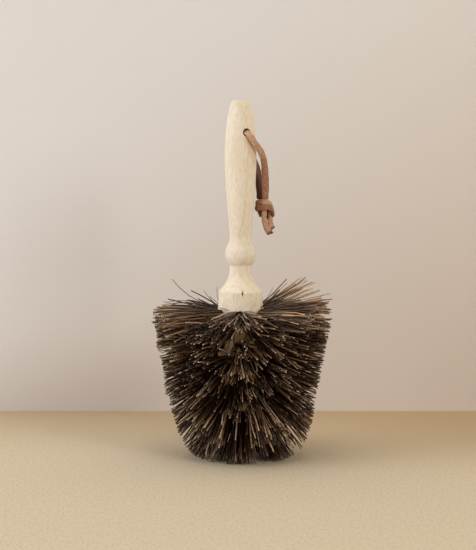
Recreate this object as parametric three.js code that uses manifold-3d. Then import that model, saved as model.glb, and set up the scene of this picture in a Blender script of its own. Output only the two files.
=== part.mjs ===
// A flowerpot brush. One turned birch body carries tufts of stiff plant fibre in drilled sockets
// round its lower end, a wire staple pins the foot of every tuft, and a knotted leather lace
// hangs from a hole in the handle. Millimetres, +Z up, standing on its bristle tips at z = 0,
// with -Y towards the viewer.
import * as THREE from "three";
import { mergeGeometries, mergeVertices } from "three/addons/utils/BufferGeometryUtils.js";
import Module from "manifold-3d";

const wasm = await Module();
wasm.setup();

// Driving dimensions of the turned body.
const HEIGHT = 250;
const END_RADIUS = 5.7;
const GRIP_RADIUS = 10.95;
const GRIP_Z = 206;
const WAIST_RADIUS = 7.5;
const WAIST_Z = 156;
const BEAD_RADIUS = 10.7;
const BEAD_Z = 143;
const BEAD_FOOT_Z = 135.8;
const SHOULDER_RADIUS = 15;
const SHOULDER_Z = 117.4;
const CORE_RADIUS = 16;
const CORE_FULL_Z = 103;
const HEAD_TOP = 106;
const DOME_Z = 44;
const SIDES = 32;

// The core's outer layer is cut from the spigot inside it, so that each slice carries its tufts.
const FIT_GAP = 0.3;
const SPIGOT_RADIUS = 11;
const SLEEVE_RADIUS = SPIGOT_RADIUS + FIT_GAP;
const SLICE_CUTS = [HEAD_TOP, 85.2, 64.2, 38.5];

// Tufts: rows down the core, alternate rows turned by half a pitch.
const TUFTS_PER_ROW = 6;
const PITCH = (2 * Math.PI) / TUFTS_PER_ROW;
const ROW_STEP = 10.5;
const TOP_ROW_Z = 101;
const STRANDS_ROUND_TUFT = 8;
const STRAND_RADIUS = 0.62;
const TUFT_RADIUS = 2.15;
const SPREAD_ACROSS = 0.3;
const STRAND_SINK = 1.6;

// The bristles are trimmed to the inside of a flowerpot: a cone with a rounded foot.
const TRIM_TOP_RADIUS = 65;
const TRIM_FOOT_RADIUS = 52.5;
const TRIM_FOOT_Z = 36;
const TRIM_BASE_RADIUS = 30;
const FLOOR_CUT = 0.5;

// The foot is trimmed closer on the viewer's left: by how much, at what height and over what span.
const CLOSE_TRIM = 5;
const CLOSE_TRIM_Z = 30;
const CLOSE_TRIM_SPAN = 18;

// Sockets and the staples in them.
const SOCKET_RADIUS = 2.8;
const SOCKET_FLOOR = 7.6;
const SOCKET_SIDES = 8;
const STAPLE_WIDTH = 4.2;
const STAPLE_HEIGHT = 2.4;
const STAPLE_WIRE = 0.8;
const STAPLE_CLEARANCE = 0.4;

// Lace: a flat strip through a hole that is turned a little to the right of the viewer.
const HOLE_Z = 228;
const HOLE_RADIUS = 2.8;
const HOLE_TURN = THREE.MathUtils.degToRad(25);
const LACE_WIDTH = 4.4;
const LACE_THICKNESS = 2.2;
const LACE_CHAMFER = 0.5;
const KNOT_RADIUS = 5.2;
const KNOT_HEIGHT = 11.6;
const KNOT_OUT = 18.6;
const KNOT_DROP = 53.3;

const birch = new THREE.MeshStandardMaterial({ color: 0xe8d9bb, roughness: 0.62, metalness: 0 });
const fibre = new THREE.MeshStandardMaterial({ color: 0x3a281c, roughness: 0.5, metalness: 0 });
const leather = new THREE.MeshStandardMaterial({ color: 0x94674a, roughness: 0.75, metalness: 0 });
const wire = new THREE.MeshStandardMaterial({ color: 0xb8b6b0, roughness: 0.35, metalness: 1 });

// A closed geometry as a solid that can be joined and cut.
function solidOf(geometry) {
  const bare = new THREE.BufferGeometry();
  bare.setAttribute("position", geometry.getAttribute("position").clone());
  bare.setIndex(geometry.index);
  const merged = mergeVertices(bare, 1e-4);
  const corners = merged.index.array;
  const triangles = [];
  for (let i = 0; i < corners.length; i += 3) {
    const [a, b, c] = corners.slice(i, i + 3);
    if (a !== b && b !== c && c !== a) triangles.push(a, b, c);
  }
  return new wasm.Manifold(
    new wasm.Mesh({
      numProp: 3,
      vertProperties: new Float32Array(merged.getAttribute("position").array),
      triVerts: new Uint32Array(triangles),
    }),
  );
}

function geometryOf(solid) {
  const made = solid.getMesh();
  const geometry = new THREE.BufferGeometry();
  geometry.setAttribute("position", new THREE.BufferAttribute(made.vertProperties, 3));
  geometry.setIndex(new THREE.BufferAttribute(made.triVerts, 1));
  geometry.computeVertexNormals();
  return geometry;
}

function named(name, geometry, material) {
  const mesh = new THREE.Mesh(geometry, material.clone());
  mesh.name = name;
  return mesh;
}

// A profile of (radius, height) points, turned about the brush's axis.
function turned(points) {
  return new THREE.LatheGeometry(points, SIDES).rotateX(Math.PI / 2);
}

function v2(radius, z) {
  return new THREE.Vector2(radius, z);
}

// The outside of the core at a height: tapered block, straight length, domed end.
function coreRadius(z) {
  if (z < DOME_Z) return Math.sqrt(CORE_RADIUS ** 2 - (DOME_Z - z) ** 2);
  const taper = (CORE_RADIUS - SHOULDER_RADIUS) / (SHOULDER_Z - CORE_FULL_Z);
  return CORE_RADIUS - Math.max(0, z - CORE_FULL_Z) * taper;
}

function sleeveRadius(z) {
  if (z < DOME_Z) return Math.sqrt(SLEEVE_RADIUS ** 2 - (DOME_Z - z) ** 2);
  return SLEEVE_RADIUS;
}

// Turned body: flat end, swelling grip, waist, bead, cove, tapered block, and the spigot below.
function bodyProfile() {
  const grip = new THREE.SplineCurve([
    v2(END_RADIUS + 0.7, HEIGHT - 0.8),
    v2(GRIP_RADIUS * 0.825, HEIGHT - 11.5),
    v2(GRIP_RADIUS * 0.977, HEIGHT - 30.5),
    v2(GRIP_RADIUS, GRIP_Z),
    v2(GRIP_RADIUS * 0.89, WAIST_Z + 27.6),
    v2(GRIP_RADIUS * 0.75, WAIST_Z + 9.7),
    v2(WAIST_RADIUS, WAIST_Z),
  ]);
  const beadTop = new THREE.CubicBezierCurve(
    v2(WAIST_RADIUS, WAIST_Z),
    v2(WAIST_RADIUS, WAIST_Z - 7),
    v2(BEAD_RADIUS, BEAD_Z + 6.5),
    v2(BEAD_RADIUS, BEAD_Z),
  );
  const beadFoot = new THREE.CubicBezierCurve(
    v2(BEAD_RADIUS, BEAD_Z),
    v2(BEAD_RADIUS, BEAD_Z - 3),
    v2(BEAD_RADIUS - 1.5, BEAD_FOOT_Z + 1.2),
    v2(WAIST_RADIUS + 0.2, BEAD_FOOT_Z),
  );
  const cove = new THREE.CubicBezierCurve(
    v2(WAIST_RADIUS, BEAD_FOOT_Z - 0.5),
    v2(WAIST_RADIUS - 0.2, BEAD_FOOT_Z - 9.3),
    v2(WAIST_RADIUS + 2.7, SHOULDER_Z + 5.1),
    v2(SHOULDER_RADIUS - 0.2, SHOULDER_Z + 0.2),
  );
  const foot = HEAD_TOP + FIT_GAP;
  const dome = new THREE.EllipseCurve(0, DOME_Z, SPIGOT_RADIUS, SPIGOT_RADIUS, 0, -Math.PI / 2, true);
  return [
    v2(0, HEIGHT),
    v2(END_RADIUS, HEIGHT),
    ...grip.getPoints(14),
    ...beadTop.getPoints(6).slice(1),
    ...beadFoot.getPoints(5).slice(1),
    ...cove.getPoints(7),
    v2(coreRadius(SHOULDER_Z - 0.8), SHOULDER_Z - 0.8),
    v2(coreRadius(foot), foot),
    v2(SPIGOT_RADIUS, foot),
    ...dome.getPoints(6).slice(0, -1),
    v2(0, DOME_Z - SPIGOT_RADIUS),
  ].reverse();
}

// A ring of the core's outer layer between two heights.
function sliceProfile(top, bottom) {
  const between = [CORE_FULL_Z, DOME_Z, DOME_Z - 2, DOME_Z - 4].filter((z) => z < top && z > bottom);
  const heights = [top, ...between, bottom];
  const outside = heights.map((z) => v2(coreRadius(z), z)).reverse();
  const inside = heights.map((z) => v2(sleeveRadius(z), z));
  return [...outside, ...inside, outside[0].clone()];
}

// The domed end of that layer, closed over the spigot's tip.
function capProfile(top) {
  const rise = (radius) => Math.asin((DOME_Z - top) / radius);
  const arc = (radius) => {
    const curve = new THREE.EllipseCurve(0, DOME_Z, radius, radius, -Math.PI / 2, -rise(radius), false);
    return curve.getPoints(6).map((p, i) => v2(i ? p.x : 0, p.y));
  };
  return [...arc(CORE_RADIUS), ...arc(SLEEVE_RADIUS).reverse()];
}

// Rows of tufts: how far the sockets of each point down, and how far its bristles fan up and down.
const ROWS = [
  { down: 1, fan: 0.13 },
  { down: 4, fan: 0.13 },
  { down: 7, fan: 0.14 },
  { down: 13, fan: 0.15 },
  { down: 24, fan: 0.18 },
  { down: 40, fan: 0.22 },
];
const LAST_ROW_AT = 50;
const LAST_ROW = { down: 61, fan: 0.2 };
const TIP_TUFT = { down: 90, fan: 0.3 };

// One tuft of the top row has sprung up, to the right behind the block.
const SPRUNG_TUFT = 2;
const SPRUNG_UP = 5;

function directions(turn, degreesDown) {
  const down = THREE.MathUtils.degToRad(degreesDown);
  const side = new THREE.Vector3(Math.cos(turn), Math.sin(turn), 0);
  const along = new THREE.Vector3(Math.sin(turn), -Math.cos(turn), 0).multiplyScalar(Math.cos(down));
  along.setZ(-Math.sin(down));
  return { side, along };
}

function tuft(turn, radius, z, { down, fan }, leanDegrees, sprung) {
  const { side, along } = directions(turn, down);
  const reach = directions(turn, down - sprung).along;
  const foot = new THREE.Vector3(radius * Math.sin(turn), -radius * Math.cos(turn), z);
  const depth = (CORE_RADIUS - SOCKET_FLOOR) / Math.cos(THREE.MathUtils.degToRad(leanDegrees));
  return { foot, along, reach, side, fan, depth };
}

function rowOfTufts(row) {
  const z = TOP_ROW_Z - row * ROW_STEP;
  return Array.from({ length: TUFTS_PER_ROW }, (_, k) => {
    const sprung = row === 0 && k === SPRUNG_TUFT ? SPRUNG_UP : 0;
    return tuft((k + (row % 2) / 2) * PITCH, coreRadius(z), z, ROWS[row], ROWS[row].down, sprung);
  });
}

function lastRow() {
  const at = THREE.MathUtils.degToRad(LAST_ROW_AT);
  const radius = CORE_RADIUS * Math.cos(at);
  const z = DOME_Z - CORE_RADIUS * Math.sin(at);
  const lean = LAST_ROW.down - LAST_ROW_AT;
  return Array.from({ length: TUFTS_PER_ROW }, (_, k) => tuft(k * PITCH, radius, z, LAST_ROW, lean, 0));
}

function tipTuft() {
  return tuft(0, 0, DOME_Z - CORE_RADIUS, TIP_TUFT, 0, 0);
}

// How much closer the trim is on the left.
function closerTrim(x, z) {
  const left = Math.max(0, -x / TRIM_FOOT_RADIUS);
  return CLOSE_TRIM * left * Math.exp(-(((z - CLOSE_TRIM_Z) / CLOSE_TRIM_SPAN) ** 2));
}

// The trimmed outline's radius at a height.
function trimRadius(x, z) {
  const closer = closerTrim(x, z);
  if (z >= TRIM_FOOT_Z) {
    const slope = (TRIM_TOP_RADIUS - TRIM_FOOT_RADIUS) / (TOP_ROW_Z - TRIM_FOOT_Z);
    return TRIM_FOOT_RADIUS + (Math.min(z, TOP_ROW_Z) - TRIM_FOOT_Z) * slope - closer;
  }
  const share = Math.min(1, (TRIM_FOOT_Z - z) / (TRIM_FOOT_Z + FLOOR_CUT));
  return TRIM_BASE_RADIUS + (TRIM_FOOT_RADIUS - TRIM_BASE_RADIUS) * (1 - share ** 2) ** 0.8 - closer;
}

// How far a bristle runs from its foot before the trim, found by halving.
function trimLength(foot, direction) {
  const inside = (length) => {
    const p = foot.clone().addScaledVector(direction, length);
    return p.z > -FLOOR_CUT && Math.hypot(p.x, p.y) < trimRadius(p.x, p.z);
  };
  let near = 0;
  let far = 2 * TRIM_TOP_RADIUS;
  for (let i = 0; i < 30; i++) {
    const middle = (near + far) / 2;
    if (inside(middle)) near = middle;
    else far = middle;
  }
  return near;
}

// One bristle of three sides, from its sunk foot to its square-cut tip.
function strand(foot, direction, length) {
  const corner = (k) => (k * 2 * Math.PI) / 3;
  const section = new THREE.Shape(
    [0, 1, 2].map((k) => v2(STRAND_RADIUS * Math.cos(corner(k)), STRAND_RADIUS * Math.sin(corner(k)))),
  );
  const blade = new THREE.ExtrudeGeometry(section, { depth: length + STRAND_SINK, bevelEnabled: false });
  const turn = new THREE.Quaternion().setFromUnitVectors(new THREE.Vector3(0, 0, 1), direction);
  const start = foot.clone().addScaledVector(direction, -STRAND_SINK);
  return blade.applyMatrix4(new THREE.Matrix4().compose(start, turn, new THREE.Vector3(1, 1, 1)));
}

// A tuft is one strand on its axis and a ring of strands that fan out from it.
function strandsOf({ foot, reach, side, fan }) {
  const up = new THREE.Vector3().crossVectors(reach, side);
  const made = [strand(foot, reach, trimLength(foot, reach))];
  for (let k = 0; k < STRANDS_ROUND_TUFT; k++) {
    const turn = ((k + 0.5) * 2 * Math.PI) / STRANDS_ROUND_TUFT;
    const across = Math.cos(turn);
    const rise = Math.sin(turn);
    const at = foot.clone().addScaledVector(side, TUFT_RADIUS * across);
    at.addScaledVector(up, TUFT_RADIUS * rise);
    const direction = reach.clone().addScaledVector(side, SPREAD_ACROSS * across);
    direction.addScaledVector(up, fan * rise).normalize();
    made.push(strand(at, direction, trimLength(at, direction)));
  }
  return made;
}

// A slice of the core with its tufts, cut flat where it meets the floor.
function bristleNode(name, profile, tufts) {
  const strands = solidOf(mergeGeometries(tufts.flatMap(strandsOf)));
  const aboveFloor = new THREE.BoxGeometry(3 * TRIM_TOP_RADIUS, 3 * TRIM_TOP_RADIUS, HEIGHT);
  aboveFloor.translate(0, 0, HEIGHT / 2);
  const joined = solidOf(turned(profile)).add(strands).intersect(solidOf(aboveFloor));
  return named(name, geometryOf(joined), fibre);
}

// The drilled socket of a tuft, as the drill that cuts it.
function socketDrill({ foot, along, depth }) {
  const drill = new THREE.CylinderGeometry(SOCKET_RADIUS, SOCKET_RADIUS, depth, SOCKET_SIDES);
  const turn = new THREE.Quaternion().setFromUnitVectors(new THREE.Vector3(0, 1, 0), along);
  const middle = foot.clone().addScaledVector(along, -depth / 2);
  return drill.applyMatrix4(new THREE.Matrix4().compose(middle, turn, new THREE.Vector3(1, 1, 1)));
}

// A staple bent from flat wire, its crown across the socket and its legs towards the core's axis.
function stapleGeometry() {
  const half = STAPLE_WIDTH / 2;
  const inner = half - STAPLE_WIRE;
  const crown = STAPLE_HEIGHT - STAPLE_WIRE;
  const outline = new THREE.Shape([
    v2(-half, 0),
    v2(-inner, 0),
    v2(-inner, crown),
    v2(inner, crown),
    v2(inner, 0),
    v2(half, 0),
    v2(half, STAPLE_HEIGHT),
    v2(-half, STAPLE_HEIGHT),
  ]);
  const bent = new THREE.ExtrudeGeometry(outline, { depth: STAPLE_WIRE, bevelEnabled: false });
  return bent.translate(0, 0, -STAPLE_WIRE / 2);
}

function staple(name, { foot, along, side, depth }) {
  const mesh = named(name, stapleGeometry(), wire);
  const place = foot.clone().addScaledVector(along, STAPLE_CLEARANCE - depth);
  const axes = new THREE.Matrix4().makeBasis(side, along, new THREE.Vector3().crossVectors(side, along));
  mesh.quaternion.setFromRotationMatrix(axes);
  mesh.position.copy(place);
  return mesh;
}

// The lace hole's own axes: out of its front mouth, out to the side, and up.
const holeOut = new THREE.Vector3(Math.sin(HOLE_TURN), -Math.cos(HOLE_TURN), 0);
const holeSide = new THREE.Vector3(Math.cos(HOLE_TURN), Math.sin(HOLE_TURN), 0);

function lacePoint(out, side, rise) {
  const p = holeOut.clone().multiplyScalar(out).addScaledVector(holeSide, side);
  return p.setZ(HOLE_Z + rise);
}

function laceHoleDrill() {
  const drill = new THREE.CylinderGeometry(HOLE_RADIUS, HOLE_RADIUS, 4 * GRIP_RADIUS, 16);
  const turn = new THREE.Quaternion().setFromUnitVectors(new THREE.Vector3(0, 1, 0), holeOut);
  return drill.applyQuaternion(turn).translate(0, 0, HOLE_Z);
}

// A flat strip's section, with its edges eased.
function laceSection() {
  const w = LACE_WIDTH / 2;
  const h = LACE_THICKNESS / 2;
  const c = LACE_CHAMFER;
  return new THREE.Shape([
    v2(w - c, -h),
    v2(w, c - h),
    v2(w, h - c),
    v2(w - c, h),
    v2(c - w, h),
    v2(-w, h - c),
    v2(-w, c - h),
    v2(c - w, -h),
  ]);
}

// A lace's centre line whose frames keep the strip's width square to the hole's axis.
class LaceLine extends THREE.CatmullRomCurve3 {
  constructor(points, leaving) {
    super(points);
    this.leaving = leaving;
  }

  computeFrenetFrames(steps) {
    const frames = { tangents: [], normals: [], binormals: [] };
    for (let i = 0; i <= steps; i++) {
      const tangent = this.getTangentAt(i / steps);
      const flat = tangent.clone().addScaledVector(holeOut, -tangent.dot(holeOut));
      if (flat.length() < 0.2) flat.copy(this.leaving);
      const width = new THREE.Vector3().crossVectors(holeOut, flat);
      width.addScaledVector(tangent, -width.dot(tangent)).normalize();
      frames.tangents.push(tangent);
      frames.normals.push(width);
      frames.binormals.push(new THREE.Vector3().crossVectors(tangent, width));
    }
    return frames;
  }
}

function laceStrip(points, leaving, steps) {
  const line = new LaceLine(points, leaving);
  return new THREE.ExtrudeGeometry(laceSection(), { steps, extrudePath: line, bevelEnabled: false });
}

// A strand from a mouth of the hole to the knot: out, over the wood's side, and down.
const LEAVING = holeSide.clone().multiplyScalar(0.565).setZ(-0.825);
const MOUTH = 8.2;
const STRAND_ROUTE = [
  [MOUTH, 0, 0],
  [MOUTH + 1, 0, 0],
  [11.4, 0.5, -0.73],
  [12.5, 1.92, -2.8],
  [12.4, 5.2, -7.6],
  [11.1, 10, -13],
  [9.2, 13, -18],
  [7.2, 15, -23],
  [5.6, 16.2, -30],
];
const FRONT_FOOT = [
  [4, 17.3, -39],
  [2.6, 17.9, -47],
];
const BACK_FOOT = [
  [4, 16.4, -39],
  [2.6, 16, -47],
];

function laceStrand(name, front, foot) {
  const points = [...STRAND_ROUTE, ...foot].map(([out, side, rise]) => lacePoint(front * out, side, rise));
  return named(name, laceStrip(points, LEAVING, 22), leather);
}

function laceHoleRun() {
  const end = MOUTH - FIT_GAP;
  const points = [lacePoint(-end, 0, 0), lacePoint(end, 0, 0)];
  return named("lace_hole_run", laceStrip(points, LEAVING, 1), leather);
}

// The knot: both strands wrapped once round themselves, drawn tight.
function knot() {
  const top = KNOT_HEIGHT / 2;
  const body = turned([
    v2(0, -top),
    v2(KNOT_RADIUS - 0.6, -top),
    v2(KNOT_RADIUS, 1 - top),
    v2(KNOT_RADIUS, top - 1),
    v2(KNOT_RADIUS - 0.6, top),
    v2(0, top),
  ]);
  const wrap = new THREE.TorusGeometry(KNOT_RADIUS, LACE_THICKNESS * 0.8, 8, 24);
  wrap.scale(1, 1, 1.5).rotateY(THREE.MathUtils.degToRad(-12));
  const mesh = named("lace_knot", geometryOf(solidOf(body).add(solidOf(wrap))), leather);
  mesh.position.copy(lacePoint(0, KNOT_OUT, -KNOT_DROP));
  return mesh;
}

// The two cut ends below the knot.
const TAIL_TOP = -KNOT_DROP - KNOT_HEIGHT / 2 - FIT_GAP;
const LONG_TAIL = [
  [1.6, 17.4, TAIL_TOP],
  [1.6, 17.5, TAIL_TOP - 2],
  [1.6, 19.6, TAIL_TOP - 8],
  [1.6, 22.4, TAIL_TOP - 12],
];
const SHORT_TAIL = [
  [-1.6, 24, TAIL_TOP],
  [-1.6, 23.8, TAIL_TOP - 2],
  [-1.6, 23.8, TAIL_TOP - 5],
  [-1.6, 25.2, TAIL_TOP - 9],
];

function laceTail(name, route) {
  const points = route.map(([out, side, rise]) => lacePoint(out, side, rise));
  return named(name, laceStrip(points, LEAVING, 5), leather);
}

const rows = ROWS.map((_, row) => rowOfTufts(row));
const endTufts = [...lastRow(), tipTuft()];
const allTufts = [...rows.flat(), ...endTufts];

function woodenBody() {
  const drills = solidOf(mergeGeometries(allTufts.map(socketDrill)));
  const cut = solidOf(turned(bodyProfile())).subtract(drills).subtract(solidOf(laceHoleDrill()));
  return named("wooden_body", geometryOf(cut), birch);
}

const brush = new THREE.Group();
brush.add(woodenBody());
const [CUT_1, CUT_2, CUT_3, CUT_4] = SLICE_CUTS;
brush.add(bristleNode("bristles_upper", sliceProfile(CUT_1, CUT_2), [...rows[0], ...rows[1]]));
brush.add(bristleNode("bristles_middle", sliceProfile(CUT_2 - FIT_GAP, CUT_3), [...rows[2], ...rows[3]]));
brush.add(bristleNode("bristles_lower", sliceProfile(CUT_3 - FIT_GAP, CUT_4), [...rows[4], ...rows[5]]));
brush.add(bristleNode("bristles_end", capProfile(CUT_4 - FIT_GAP), endTufts));
allTufts.forEach((t, i) => brush.add(staple(`tuft_staple_${String(i + 1).padStart(2, "0")}`, t)));
brush.add(laceHoleRun());
brush.add(laceStrand("lace_front_strand", 1, FRONT_FOOT));
brush.add(laceStrand("lace_back_strand", -1, BACK_FOOT));
brush.add(knot());
brush.add(laceTail("lace_long_tail", LONG_TAIL));
brush.add(laceTail("lace_short_tail", SHORT_TAIL));

export default brush;
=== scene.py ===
"""Looks of a standing flowerpot brush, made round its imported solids.

Pieces are in metres in the frame of the solids: +Z up, the bristle tips on z = 0 and -Y towards
the viewer. The tables of points are in millimetres, as on a maker's drawing.
"""

import math
import random
from contextlib import contextmanager
from typing import NamedTuple

import bpy
import numpy as np
from mathutils import Matrix, Vector


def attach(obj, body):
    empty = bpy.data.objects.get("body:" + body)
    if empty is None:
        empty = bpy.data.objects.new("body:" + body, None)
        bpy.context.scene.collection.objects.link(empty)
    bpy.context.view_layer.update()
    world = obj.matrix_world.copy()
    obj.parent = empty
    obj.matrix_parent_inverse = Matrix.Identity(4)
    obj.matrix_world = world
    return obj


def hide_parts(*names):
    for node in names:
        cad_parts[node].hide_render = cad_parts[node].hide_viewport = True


bl_info = {
    "name": "Flowerpot brush",
    "version": (1, 0, 0),
    "blender": (4, 5, 0),
    "location": "View3D > Sidebar > Brush",
    "description": "Makes the wood, fibre, leather and wire of a flowerpot brush",
    "category": "Object",
}

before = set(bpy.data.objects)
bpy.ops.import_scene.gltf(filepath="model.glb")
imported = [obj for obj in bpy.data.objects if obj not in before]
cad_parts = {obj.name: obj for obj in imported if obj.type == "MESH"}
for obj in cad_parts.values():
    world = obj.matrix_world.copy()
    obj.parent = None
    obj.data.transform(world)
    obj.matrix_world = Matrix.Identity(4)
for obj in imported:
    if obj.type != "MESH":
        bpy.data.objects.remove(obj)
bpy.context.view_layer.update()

MM = 0.001
SEED = 11
BODY, LOOP = "brush", "hanging_loop"

# The turned body.

END_EDGE = [(0, 250), (3, 250), (5.3, 249.97), (5.75, 249.82), (6.1, 249.55)]
GRIP = [(6.4, 249.2), (9.03, 238.5), (10.7, 219.5), (10.95, 206), (9.75, 183.6), (8.21, 165.7), (7.5, 156)]
BEAD_TOP = [(7.5, 156), (7.5, 149), (10.7, 149.5), (10.7, 143)]
BEAD_FOOT = [(10.7, 143), (10.7, 140), (9.2, 137), (7.72, 135.85)]
COVE = [(7.5, 135.4), (7.3, 126.5), (10.2, 122.5), (14.6, 117.75)]
ARRIS = [(14.86, 117.5), (15.0, 117.2), (15.05, 116.7)]
CORE_RADIUS = 16.0
CORE_FULL_Z = 103.0
CORE_TAPER = 1 / 14.4
DOME_Z = 44.0
BLOCK_TOP, BLOCK_STEP = 114.0, 2.5
# How many points each part of the profile is drawn with.
GRIP_POINTS, BEAD_TOP_POINTS, BEAD_FOOT_POINTS, COVE_POINTS, DOME_POINTS = 46, 15, 14, 20, 17
# The core below the block is browned as painted shade among its tufts: where that begins and is full, and
# how much.
CORE_SHADE_FROM, CORE_SHADE_FULL, CORE_PAINTED_SHADE = 106, 101, 0.85
# Brown flecks in the block, and the lace's shadow on the grip painted as brown marks: their place,
# how tightly they are drawn in, and how dark they are round about and at heart.
FLECKS_AND_LACE_SHADOW = [
    ((1.3, -15, 117), (1.5, 0.3, 0.52), 0.45, 1.0),
    ((9.7, -12, 108.8), (1.3, 0.3, 0.8), 0.28, 0.0),
    # The last three paint the shadow of the lace on the grip.
    ((5.1, -9.6, 222.8), (0.8, 0.5, 0.32), 0.24, 0.0),
    ((6.8, -8.5, 217.3), (0.8, 0.5, 0.28), 0.3, 0.0),
    ((8.9, -6.2, 211), (0.8, 0.5, 0.28), 0.3, 0.0),
]

HOLE_Z = 228.0
HOLE_TURN = math.radians(25)
HOLE_RADIUS = 2.8
HOLE_STRAIGHT = 9.2
HOLE_FLARE = 1.15
HOLE_DRILL_LENGTH = 26.0
HOLE_OUT = np.array([math.sin(HOLE_TURN), -math.cos(HOLE_TURN), 0.0])
HOLE_SIDE = np.array([math.cos(HOLE_TURN), math.sin(HOLE_TURN), 0.0])

# The tufts.

TUFTS_PER_ROW = 6
ROW_STEP = 10.5
TOP_ROW_Z = 101.0
SOCKET_RADIUS = 3.8
SOCKET_DEPTH = 4.0
FIBRE_SINK = 3.4
BUNDLE_RADIUS = 3.3
# How far each row points down, how far its fibres fan sideways, up and down, and in how many
# clumps they stand: fewer than usual are drawn together more tightly.
USUAL_CLUMPS = 7
ROWS = [
    (1, 0.32, 0.05, 0.2, 7),
    (5, 0.34, 0.17, 0.22, 7),
    (8, 0.34, 0.20, 0.23, 7),
    (14, 0.36, 0.23, 0.28, 7),
    (25, 0.36, 0.31, 0.28, 6),
    (41, 0.33, 0.31, 0.28, 5),
]
# The last row stands so many degrees down the dome, and one tuft at its tip.
LAST_ROW_AT, LAST_ROW = 50, (58, 0.23, 0.33, 0.19, 3)
# The tuft at the tip is darkened as painted shade behind the last row.
TIP_TUFT, TIP_PAINTED_SHADE = (90, 0.5, 0.5, 0.5, 9), -0.25
# Tufts of the top row whose bristles spring up: how far the whole tuft is lifted, how many
# bristles stand above it, how steep the steepest are and how long the flattest.
SPRUNG = {1: (4, 8, 7, 62), 2: (4, 34, 33, 58), 4: (-2.5, 14, 17, 38)}
# How sprung bristles differ: the least climb, how far they turn aside, where in the bundle they
# stand, how much shorter the steepest are, and their bow, tones and sizes.
SPRUNG_LEAST, SPRUNG_ASIDE = 3, (-0.05, 0.16)
SPRUNG_ACROSS, SPRUNG_UP = (-0.9, 0.9), (0.4, 1)
SPRUNG_SHORTER, SPRUNG_LENGTHS = 17, (0.74, 1)
SPRUNG_BOW_ASIDE, SPRUNG_BOW_UP = (0, 0.03), (-0.02, 0.03)
SPRUNG_TONES, SPRUNG_WARMTH, SPRUNG_SIZES = (-0.04, 0.61), (0.3, 0.9), (0.6, 1.1)
# How much paler or darker the rows and single tufts of a row are: partly their own tone, partly
# painted light, paler on the top rows lit from above and darker on tufts that lie in shade.
ROW_TONE_AND_PAINTED_LIGHT = [0.27, 0.12, 0.04, 0, -0.02, -0.05, -0.12]
TUFT_TONE_AND_PAINTED_LIGHT = {
    (0, 0): 0.08,
    (0, 1): 0.18,
    (0, 2): 0.3,
    (0, 4): -0.17,
    (0, 5): -0.02,
    (1, 1): -0.16,
    (2, 0): 0.2,
    (2, 1): -0.12,
    (3, 1): -0.16,
    (4, 1): -0.12,
    (5, 0): 0.16,
    (5, 1): -0.1,
    (5, 5): 0.1,
    (6, 0): -0.2,
    (6, 1): -0.12,
    (6, 5): -0.12,
}
# How much wider or narrower single tufts of a row fan sideways, up and down.
TUFT_FAN = {
    (0, 0): (1.6, 2, 1.6),
    (0, 1): (1.3, 1.6, 1),
    (0, 2): (1.3, 1.4, 1),
    (2, 0): (0.85, 1.4, 1),
    (4, 0): (0.8, 1, 1),
    (5, 1): (0.9, 1, 1.3),
    (5, 4): (1, 1, 1.5),
}
# How far a tuft aims off, to its side and up, and how its clumps differ in tone.
AIM_ASIDE, AIM_UP, CLUMP_TONE = 0.04, 0.03, 0.09
# How strongly fibres are drawn to their clump, how wild they are and in what shares, and how far
# that takes them to the side and up.
GATHERED = (0.25, 0.88)
WILDNESS, WILD_SHARES = (1.0, 2.4, 4.5), (70, 22, 8)
STRAY_ASIDE, STRAY_UP = 0.16, 0.2
# How far a fibre bows to the side and up, by how much up on the whole, and at most how wildly.
BOW_ASIDE, BOW_UP, BOW_RISE, WILDEST_BOW = 0.03, 0.028, 0.012, 1.6
# How far a fibre strays from its line, to one side and then the other.
CROOK = 0.34
# How far fibres end short of the trim, and the share of broken ones with what is left of them.
SHORT_OF_TRIM, BROKEN_SHARE, BROKEN = 0.02, 0.1, (0.68, 0.95)
FIBRE_SIZES, FIBRE_TAPER, FIBRE_SIDES = (0.72, 1.25), 0.22, 5
FIBRE_BENDS = (0.2, 0.4, 0.6, 0.8)
# No fibre comes closer to the floor than this.
FLOOR_GAP = 0.02
# Dark, middling and pale fibres: their span of tones and their shares.
TONES, TONE_SHARES = [(-0.06, 0.25), (0.36, 0.66), (0.76, 1.12)], (59, 23, 18)

# The bristles are trimmed to the inside of a flowerpot.
TRIM_TOP_RADIUS = 65.0
TRIM_FOOT_RADIUS = 52.5
TRIM_FOOT_Z = 36.0
TRIM_BASE_RADIUS = 30.0
TRIM_BASE_DROP, TRIM_CURVE = 0.5, 0.8
TRIM_HALVINGS = 26
# The trim is uneven: on which side it is closer or, below nought, wider, by how much, at what
# height and over what span.
UNEVEN_TRIM = [(-1, 4.8, 24, 15), (-1, 2.5, 62, 10), (-1, 2.5, 88, 9), (1, -6, 6, 8)]

# Single bristles that stand away from the top row: which of its tufts holds them, the point that
# they bow towards, their tip, thickness and tone.
LOOSE = [
    (4, (-36, 12, 107.5), (-48.4, 12, 124.3), 0.62, 0.35),
    (4, (-25, 10, 112), (-35, 12, 116.2), 1.0, 0.45),
    (4, (-18, 9, 109.5), (-22, 8, 112.4), 0.5, 0.4),
    (4, (-22, 9, 109), (-25.9, 10, 116.8), 0.45, 0.5),
    (4, (-17.6, 10, 108), (-16.7, 12, 118.8), 0.4, 0.5),
    (4, (-34, 12, 112), (-51.7, 12, 108.0), 0.5, 0.45),
    (4, (-38, 12, 103), (-54.9, 14, 108.2), 0.55, 0.6),
    (4, (-30, 9, 104), (-38.6, 10, 107.8), 0.5, 0.7),
    (2, (19, 10, 110), (22.8, 10, 118.6), 0.4, 0.55),
    (1, (21, -9, 112.4), (27.3, -8, 118.8), 1.0, 0.3),
    (0, (-11.9, -16.5, 106.5), (-15, -7.2, 106.2), 0.4, 0.2),
]
LOOSE_ROOT, LOOSE_WARMTH = 0.55, 0.5

# The lace.

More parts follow.
